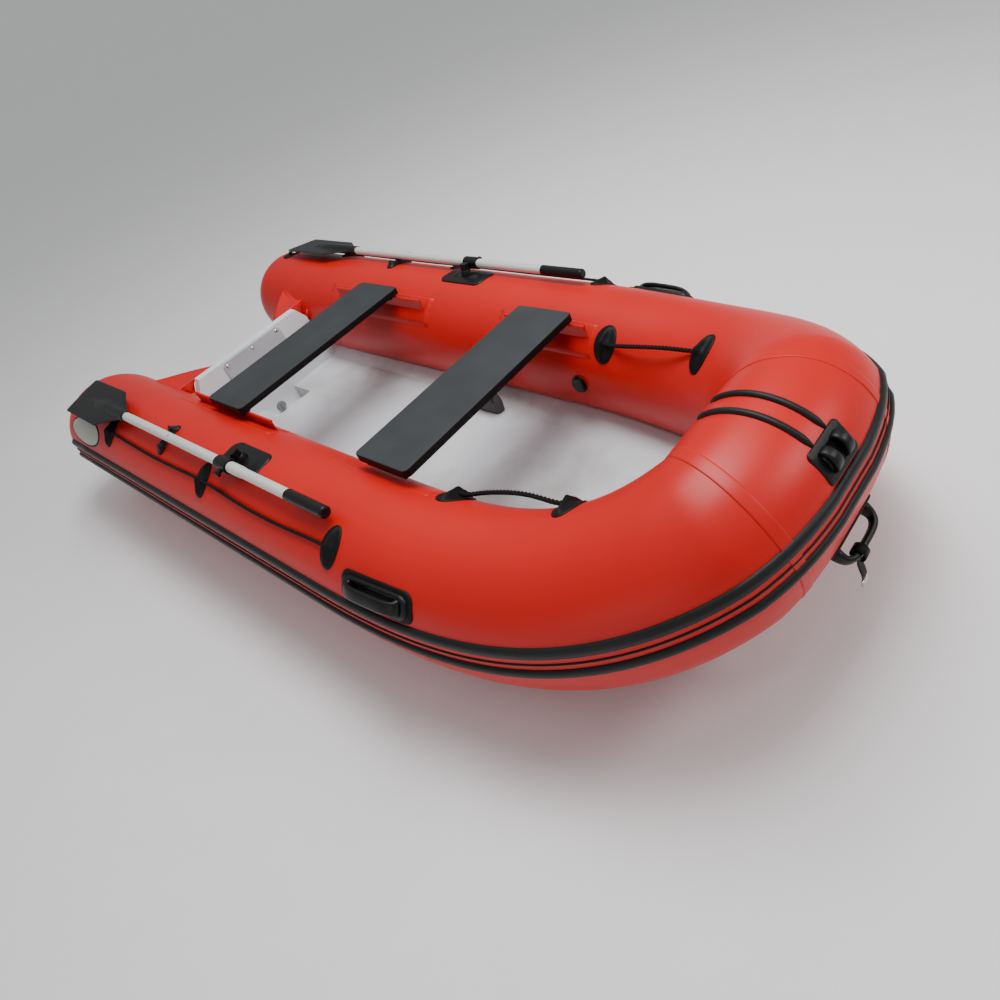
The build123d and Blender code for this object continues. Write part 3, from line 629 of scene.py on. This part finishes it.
def band(build, sections, profile):
    """A strip along sections; profile lists its (angle, lift) outline."""
    return build.rows(soften([[section(a, lift) for a, lift in profile] for section in sections]))


def half_round(top, bottom, lift, power=0.5, steps=14, sink=0.0015):
    outline = []
    for i in range(steps + 1):
        a = math.pi * i / steps
        outline.append((top + (bottom - top) * i / steps, lift * max(0.0, math.sin(a)) ** power))
    return outline + [(bottom, -sink), ((top + bottom) / 2, -sink), (top, -sink)]


def tube_seams():
    """Lapped welds where the bow tube's ends meet the side tubes."""
    build = Build()
    angles = [360 * i / 96 for i in range(97)]
    sections = soften([[section(a, 0.0) for a in angles] for section in all_sections()])
    middle = len(sections) // 2
    for mitre in (middle - MITRE_STEPS, middle + MITRE_STEPS):
        axis = sum(sections[mitre][:96], Vector()) / 96
        rows = []
        for before, here, after in zip(*(sections[mitre + k] for k in (-1, 0, 1))):
            back = (before - here).normalized()
            ahead = (after - here).normalized()
            away = (here - axis).normalized()
            rows.append([here + way * x + away * lift for way, x, lift in (
                (back, 0.016, -0.002), (back, 0.016, 0.0012), (back, 0.0135, 0.0018), (back, 0.008, 0.0016),
                (back, 0, 0.0014), (ahead, 0.008, 0.0016), (ahead, 0.0135, 0.0018), (ahead, 0.016, 0.0012),
                (ahead, 0.016, -0.002))])
        build.rows(rows, caps=False)
    build.make("Tube_seams", "red_fabric")


def rail_tapes():
    """The wide glued tapes that hold the seat rails."""
    build = Build()
    for side in SIDES.values():
        for start, end in ((0.560, 1.235), (1.610, 2.060)):
            rows = []
            for i in range(25):
                here = tube_place(start + (end - start) * i / 24, side)
                edge = 0.0002 if i in (0, 24) else 0.0006
                rows.append([here.point(a, lift) for a, lift in (
                    (119.0, -0.001), (119.1, edge), (121, edge), (128, edge), (136, edge), (144, edge),
                    (149.9, edge), (150, -0.001), (134, -0.001))])
            build.rows(rows)
    build.make("Rail_tapes", "red_fabric")


def strakes():
    sections = all_sections()
    build = Build()
    band(build, sections, half_round(21.8, 13.5, 0.009))
    band(build, sections, half_round(4.9, -2.2, 0.009))
    build.make("Rubbing_strakes", "black_rubber", nodes=["rubbing_strakes"])
    build = Build()
    band(build, sections, half_round(10.0, 8.4, 0.0035))
    build.make("Strake_centre_line", "black_rubber", nodes=["strake_centre_strip"])


def wear_strips():
    build = Build()
    for y in (-0.030, 0.030):
        rows = []
        for i in range(61):
            a = 46.5 + 85 * i / 60
            here = bow_place(y)
            taper = min(1.0, (i + 1) / 6, (61 - i) / 6) ** 0.5
            n = here.normal(a)
            p = here.point(a)
            row = []
            for j in range(11):
                q = math.pi * j / 10
                across = here.along * (0.0092 * math.cos(q)) * taper
                row.append(p + across + n * (0.0088 * math.sin(q) * taper))
            edge = here.along * 0.0092 * taper
            row += [p - edge - n * 0.001, p + edge - n * 0.001]
            rows.append(row)
        build.rows(rows)
    build.make("Bow_wear_strips", "black_rubber", nodes=["bow_wear_strips"])


buoyancy_tube()
tube_seams()
rail_tapes()
strakes()
wear_strips()


# ---- rope patches ----
def rope_patches():
    """Oval pads with a fin across the rope's path."""
    def fin(height, half):
        base = plateau(0.0045, 0.88)

        def total(u, v, r):
            ridge = height * bell(u, 0.0085) * max(0.0, 1 - (v / half) ** 2) ** 0.8
            collar = 0.006 * bell(u, 0.020) * bell(v, 0.012)
            return base(u, v, r) + ridge + collar
        return total

    build = Build()
    for side in SIDES.values():
        for station in (0.400, 1.160, 1.893):
            wrapped(build, side_skin(side, station, 53), oval(0.070, 0.120), fin(0.0150, 0.055))
    build.make("Lifeline_patches", "black_fabric", nodes=["lifeline_patches"])
    build = Build()
    for side in SIDES.values():
        for station, angle in ((2.115, 134), (2.580, 124)):
            wrapped(build, side_skin(side, station, angle), oval(0.094, 0.126), fin(0.0185, 0.058))
    build.make("Grab_line_patches", "black_fabric", nodes=["grab_line_patches"])


rope_patches()


# ---- handles ----
HANDLE_STATION = 2.092
HANDLE_ANGLE = 34.2
BOW_HANDLE_ANGLE = -36.0


def arch(length, reach, steps=40):
    """A flat-topped arch in x and z."""
    points = []
    for i in range(steps + 1):
        a = math.pi * i / steps
        c, s = math.cos(a), math.sin(a)
        points.append(Vector((-math.copysign(abs(c) ** 0.55, c) * length / 2, 0, reach * s ** 0.5)))
    return points


def superellipse(a, b, power=0.6, steps=20):
    points = []
    for i in range(steps):
        q = 2 * math.pi * i / steps
        c, s = math.cos(q), math.sin(q)
        points.append((a * math.copysign(abs(c) ** power, c), b * math.copysign(abs(s) ** power, s)))
    return points


def carry_handle(build, matrix, length, reach, thick, wide):
    """A moulded bar on two spreading feet."""
    turn = matrix.to_3x3()
    points = [matrix @ p for p in arch(length, reach)]
    across = turn @ Vector((0, 1, 0))

    def section(share):
        foot = 1 + 0.45 * abs(2 * share - 1) ** 6
        return superellipse(wide / 2 * foot, thick / 2 * foot)
    sweep(build, points, lambda share: across, section)


def handles():
    pads = Build()
    for side in SIDES.values():
        wrapped(pads, side_skin(side, HANDLE_STATION, HANDLE_ANGLE), rounded_rect(0.260, 0.082, 0.026),
                plateau(0.005, 0.93))
    wrapped(pads, bow_skin(0.0, BOW_HANDLE_ANGLE), rounded_rect(0.190, 0.088, 0.024), plateau(0.005, 0.93))
    pads.make("Handle_pads", "black_fabric", nodes=["handle_pads"])
    rim = Build()
    for side in SIDES.values():
        skin = side_skin(side, HANDLE_STATION, HANDLE_ANGLE)
        outline = rounded_rect(0.232, 0.062, 0.024)
        inner = rounded_rect(0.196, 0.034, 0.014)
        rows = [[skin(u, v, h) for u, v in shape] for shape, h in (
            (outline, 0.003), (rounded_rect(0.230, 0.060, 0.023), 0.010),
            (rounded_rect(0.224, 0.055, 0.021), 0.013), (rounded_rect(0.206, 0.042, 0.016), 0.013),
            (rounded_rect(0.199, 0.036, 0.014), 0.010), (inner, 0.003))]
        rows.append(rows[0])
        rim.rows(rows, caps=False)
        carry_handle(rim, tube_place(HANDLE_STATION, side).matrix(HANDLE_ANGLE), 0.186, 0.029, 0.015, 0.035)
    rim.make("Side_carry_handles", "black_plastic", nodes=["side_handle_grips"])
    bar = Build()
    carry_handle(bar, bow_place(0.0).matrix(BOW_HANDLE_ANGLE), 0.146, 0.048, 0.016, 0.027)
    bar.make("Bow_carry_handle", "black_plastic", nodes=["bow_handle_grip"])


handles()


# ---- the strap on the bow handle ----
def bow_strap():
    """A webbing loop round the handle's bar, with a tail that hangs a little bent."""
    low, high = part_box("bow_strap")
    y = (low.y + high.y) / 2
    half = (high.y - low.y) / 2 - 0.0005
    eye = Vector(((low.x + high.x) / 2, y, high.z - 0.0195))
    radius = 0.0182
    path = []
    for i in range(25):
        a = math.radians(-80 + 340 * i / 24)
        path.append(Vector((radius * math.cos(a), 0, radius * math.sin(a))))
    tail = ((-0.0035, -0.024), (-0.004, -0.036), (-0.002, -0.050), (0.001, -0.064), (0.002, -0.076),
            (0.001, -0.088))
    path += [Vector((x, 0, z)) for x, z in tail]
    build = Build()

    def section(share):
        return [(half, -0.001), (half, 0.001), (half * 0.5, 0.0013), (-half * 0.5, 0.0013), (-half, 0.001),
                (-half, -0.001)]
    sweep(build, [eye + p for p in path], lambda share: Vector((0, 1, 0)), section)
    build.make("Bow_strap", "black_fabric", body="bow_strap", nodes=["bow_strap"])


bow_strap()


# ---- fairlead ----
def fairlead():
    """A plate with two hooded cheeks and a rope channel between them."""
    build = Build()
    angle = 35.0
    wrapped(build, bow_skin(0.0, angle), rounded_rect(0.130, 0.086, 0.012), plateau(0.005, 0.95))
    matrix = bow_place(0.0).matrix(angle, 0.003)
    for centre in (-0.0265, 0.0265):
        rows = []
        for across, scale in ((-0.0105, 0.50), (-0.0125, 0.55), (-0.0135, 0.62), (-0.0135, 0.88),
                              (-0.0115, 0.97), (-0.008, 1.0), (0.008, 1.0), (0.0115, 0.97),
                              (0.0135, 0.88), (0.0135, 0.62), (0.0125, 0.55), (0.0105, 0.50)):
            row = []
            for j in range(21):
                a = math.pi * j / 20
                low = 0.004 * (1 - scale) / 0.4
                row.append(matrix @ Vector((centre + across, 0.029 * math.cos(a) * scale,
                                            low + (0.0255 * scale - low) * math.sin(a) ** 0.8)))
            row.append(matrix @ Vector((centre + across, 0, -0.002)))
            rows.append(row)
        build.rows(rows)
    bed = []
    for y in (-0.026, 0.0, 0.026):
        row = []
        for j in range(13):
            a = math.pi * j / 12
            row.append(matrix @ Vector((0.018 * math.cos(a), y, 0.006 - 0.004 * math.sin(a))))
        bed.append(row + [matrix @ Vector((0, y, -0.002))])
    build.rows(bed)
    build.make("Bow_fairlead", "black_plastic", nodes=["bow_fairlead"])


fairlead()


# ---- rowlocks and oar clips ----
PIVOT = 1.310
CLIP = 0.830
OAR_Y = 0.570                   # the stowed oar's axis
OAR_Z = 0.516
LEAN = math.radians(12)         # outboard lean of the rowlock pin
PIVOT_OFFSET = 0.043            # from the pin's axis to the oar's
PIVOT_DROP = 0.036              # from the oar's axis down to the tube along the pin


def up_the_pin(side):
    return Vector((0, side * math.sin(LEAN), math.cos(LEAN)))


def rowlock_bases():
    for name, side in SIDES.items():
        def lobes(u, v, r):
            base = plateau(0.005, 0.93)(u, v, r)
            ears = 0.0
            for centre in (-0.040, 0.040):
                ears = max(ears, shelf(math.hypot((u - centre) * 0.85, v + 0.004), 0.021, 0.007))
            waist = 0.45 * shelf(u, 0.040, 0.008) * shelf(v + 0.003, 0.012, 0.005)
            return base + 0.0062 * max(ears, waist)
        build = Build()
        wrapped(build, side_skin(side, PIVOT, 83.0), rounded_rect(0.226, 0.104, 0.030, steps=10), lobes)
        up = up_the_pin(side)
        out = Vector((0, side * math.cos(LEAN), -math.sin(LEAN)))
        oar = Vector((AFT + PIVOT, side * OAR_Y, OAR_Z))
        foot = oar - out * PIVOT_OFFSET - up * PIVOT_DROP
        rows = []
        for r, z in ((0.0205, -0.010), (0.0200, 0.012), (0.0180, 0.018), (0.0172, 0.0222), (0.0160, 0.0238),
                     (0.0100, 0.0240), (0.0085, 0.0232)):
            rows.append([foot + up * z + (Vector((1, 0, 0)) * math.cos(q) + out * math.sin(q)) * r
                         for q in [2 * math.pi * j / 32 for j in range(32)]])
        build.rows(rows)
        build.make(f"Rowlock_base_{name}", "black_plastic", nodes=[f"rowlock_base_{name}"])


def oar_clips():
    """Saddles under the stowed shafts, with an ear on each side."""
    def height(u, v, r):
        base = plateau(0.005, 0.9)(u, v, r)
        cradle = 0.0155 * shelf(v - 0.003, 0.012, 0.007) * shelf(u, 0.010, 0.005)
        inner = 0.021 * bell(v - 0.034, 0.011) * shelf(u, 0.013, 0.005)
        outer = 0.0135 * bell(v + 0.032, 0.012) * shelf(u, 0.013, 0.005)
        return base + max(cradle, inner, outer)

    build = Build()
    plain = rounded_rect(0.044, 0.118, 0.020, steps=10)
    outline = [(u * (0.62 + 0.38 * abs(v / 0.059) ** 1.5), v) for u, v in plain]
    for side in SIDES.values():
        wrapped(build, side_skin(side, CLIP, 71.0), outline, height)
    build.make("Oar_clips", "black_plastic", nodes=["oar_clips"])


rowlock_bases()
oar_clips()


# ---- oars ----
def oar_matrix(side, station):
    up = up_the_pin(side)
    along = Vector((1, 0, 0))
    m = Matrix((along, up.cross(along), up)).transposed().to_4x4()
    m.translation = Vector((AFT + station, side * OAR_Y, OAR_Z))
    return m


def blade(name, side):
    """A moulded blade: a thin web with a raised spine that grows into the socket."""
    matrix = oar_matrix(side, 0.085)
    length = 0.463

    def half_width(x):
        if x < 0.012:
            return 0.070 + 0.010 * math.sqrt(max(0.0, 1 - (1 - x / 0.012) ** 2))
        if x < 0.300:
            return 0.080 + 0.002 * x / 0.300
        if x < 0.430:
            k = (x - 0.300) / 0.130
            return 0.0215 + 0.0605 * (1 - k) ** 1.15
        return 0.0205

    def spine(x):
        k = min(1.0, max(0.0, (x - 0.070) / 0.230))
        return 0.0195 * (k * k * (3 - 2 * k)) ** 0.7

    rows = []
    stations = [0.0, 0.002, 0.005, 0.012] + [0.012 + (length - 0.012) * i / 44 for i in range(1, 45)]
    for x in stations:
        w = half_width(x)
        r = spine(x)
        row = []
        for k in range(48):
            q = 2 * math.pi * k / 48
            y = w * math.cos(q)
            edge = max(0.0, 1 - (abs(y) / w) ** 8)
            web = 0.0031 * edge ** 0.5 * (0.55 if x < 0.004 else 1)
            round_part = math.sqrt(max(0.0, r * r - y * y))
            flare = r * 0.35 * bell(y, max(r, 0.001) * 1.5)
            z = max(web, round_part, min(flare, 0.012))
            on_edge = k in (0, 24)
            row.append(matrix @ Vector((x, y, 0 if on_edge else math.copysign(z, math.sin(q)))))
        rows.append(row)
    build = Build()
    build.rows(rows)
    build.make(f"Oar_blade_{name}", "black_plastic", body=f"oar_{name}", nodes=[f"oar_blade_{name}"])


def shaft_buttons(name, side):
    """The sprung buttons that lock the shaft's lengths."""
    build = Build()
    for station in (0.930, 0.520):
        m = oar_matrix(side, station)
        rows = []
        for r, z in ((0.0042, 0.0150), (0.0042, 0.0172), (0.0034, 0.0184), (0.0016, 0.0189)):
            rows.append([m @ Vector((r * math.cos(q), r * math.sin(q), z))
                         for q in [2 * math.pi * j / 16 for j in range(16)]])
        build.rows(rows)
    build.make(f"Oar_buttons_{name}", "steel", body=f"oar_{name}")


for name, side in SIDES.items():
    blade(name, side)
    shaft_buttons(name, side)


# ---- stern rings and badge ----
def ring_patch(name, slot, skin, matrix, outline, thick):
    """A glued patch with a fold of webbing that holds a ring."""
    build = Build()
    wrapped(build, skin, outline, plateau(thick, 0.9))
    rows = []
    for x in (-0.011, -0.010, 0.010, 0.011):
        scale = 0.8 if abs(x) > 0.0105 else 1.0
        row = []
        for j in range(17):
            a = math.pi * j / 16
            z = 0.009 + 0.0065 * math.sin(a) * scale
            row.append(matrix @ Vector((x, 0.0075 * math.cos(a) * scale, z)))
        row += [matrix @ Vector((x, -0.012, 0.001)), matrix @ Vector((x, 0.012, 0.001))]
        rows.append(row)
    build.rows(rows)
    build.make(f"Ring_patch_{name}", slot, nodes=[f"d_ring_patch_{name}"])


def badge():
    """A plain oval patch on the starboard quarter, with no mark on it."""
    rim = Build()
    field = Build()
    skin = side_skin(-1, 0.160, 40)
    wrapped(rim, skin, oval(0.290, 0.114), plateau(0.0012, 0.97))
    wrapped(field, skin, oval(0.274, 0.100), plateau(0.0018, 0.98))
    rim.make("Badge_rim", "black_fabric")
    field.make("Badge_field", "grey_plastic", finish=BADGE_FIELD)


BOW_RING_ANGLE = 178
STERN_RING_STATION = 0.034
STERN_RING_ANGLE = 82
ring_patch("bow", "red_fabric", bow_skin(0.0, BOW_RING_ANGLE), bow_place(0.0).matrix(BOW_RING_ANGLE),
           oval(0.056, 0.074), 0.0025)
ring_patch("stern", "black_fabric", side_skin(1, STERN_RING_STATION, STERN_RING_ANGLE),
           tube_place(STERN_RING_STATION, 1).matrix(STERN_RING_ANGLE),
           rounded_rect(0.064, 0.084, 0.028), 0.003)
badge()


# ---- transom gussets ----
def gussets():
    """Fabric webs from the tubes round the transom's top corners, with a panel closing each outer edge."""
    low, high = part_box("transom_gussets")
    top_z = high.z - 0.0015
    build = Build()
    for side in SIDES.values():
        top = []
        under = []
        for i in range(19):
            share = i / 18
            x = low.x + (high.x - low.x) * share
            reach = 0.338 - 0.178 * share - 0.020 * math.sin(share * math.pi)
            rise = 0.026 * (1 - share) ** 2
            row_top = []
            row_under = []
            for j in range(11):
                y = 0.350 + (reach - 0.350) * j / 10
                z = top_z + rise - 0.006 * math.sin(math.pi * j / 10) * (1 - share)
                skin = TUBE_Z + math.sqrt(max(0.0, TUBE_R ** 2 - (TUBE_Y - y) ** 2))
                z = max(z, skin + 0.0006) if j > 1 else min(z, skin - 0.003)
                row_top.append(Vector((x, side * y, z)))
                row_under.append(Vector((x, side * y, z - 0.0025)))
            top.append(row_top)
            under.append(row_under)
        build.rows([a + b[::-1] for a, b in zip(top, under)])
        corner = ((0.244, top_z), (0.262, 0.380), (0.279, 0.346), (0.284, 0.322), (0.294, 0.330),
                  (0.305, 0.365), (0.322, 0.390), (0.340, top_z - 0.001))
        flap = ((0.283, 0.322), (0.277, 0.346), (0.300, 0.372), (0.312, 0.358))
        panels = ((corner, high.x - 0.0035, high.x - 0.0005), (flap, AFT + 0.3775, AFT + 0.3795))
        for outline, back, front in panels:
            build.rows([[Vector((x, side * y, z)) for y, z in outline] for x in (back, front)])
    build.make("Transom_gussets", "red_fabric", nodes=["transom_gussets"])


def pouch():
    """A soft bag that stands on the floor, a little slumped, with a lid flap."""
    low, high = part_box("pouch")
    centre = (low + high) / 2
    half = (high - low) / 2
    build = Build()
    rows = []
    for i in range(13):
        share = i / 12
        squeeze = 0.90 + 0.09 * math.sin(math.pi * share) - 0.10 * share ** 3
        row = []
        for j in range(48):
            q = 2 * math.pi * j / 48
            c, s = math.cos(q), math.sin(q)
            crease = 1 + 0.014 * math.sin(5 * q + 7 * share) + 0.010 * math.sin(11 * q - 5 * share)
            row.append(Vector((centre.x + half.x * squeeze * crease * 0.97 * math.copysign(abs(c) ** 0.45, c),
                               centre.y + half.y * squeeze * crease * 0.97 * math.copysign(abs(s) ** 0.6, s),
                               low.z + 2 * half.z * (0.004 + 0.955 * share))))
        rows.append(row)
    build.rows(rows)
    flap = []
    for k in range(9):
        drop = k / 8
        y = centre.y + half.y * (0.9 - 1.85 * min(1, drop * 1.6))
        z = high.z - 0.003 - max(0, drop - 0.62) * 0.075
        flap.append([Vector((centre.x + half.x * w, y - t, z + t)) for w, t in (
            (-0.84, 0), (-0.84, 0.002), (0, 0.0025), (0.84, 0.002), (0.84, 0), (0, 0))])
    build.rows(flap)
    build.make("Pouch", "black_fabric", nodes=["pouch"], finish=POUCH_FINISH)


gussets()
pouch()
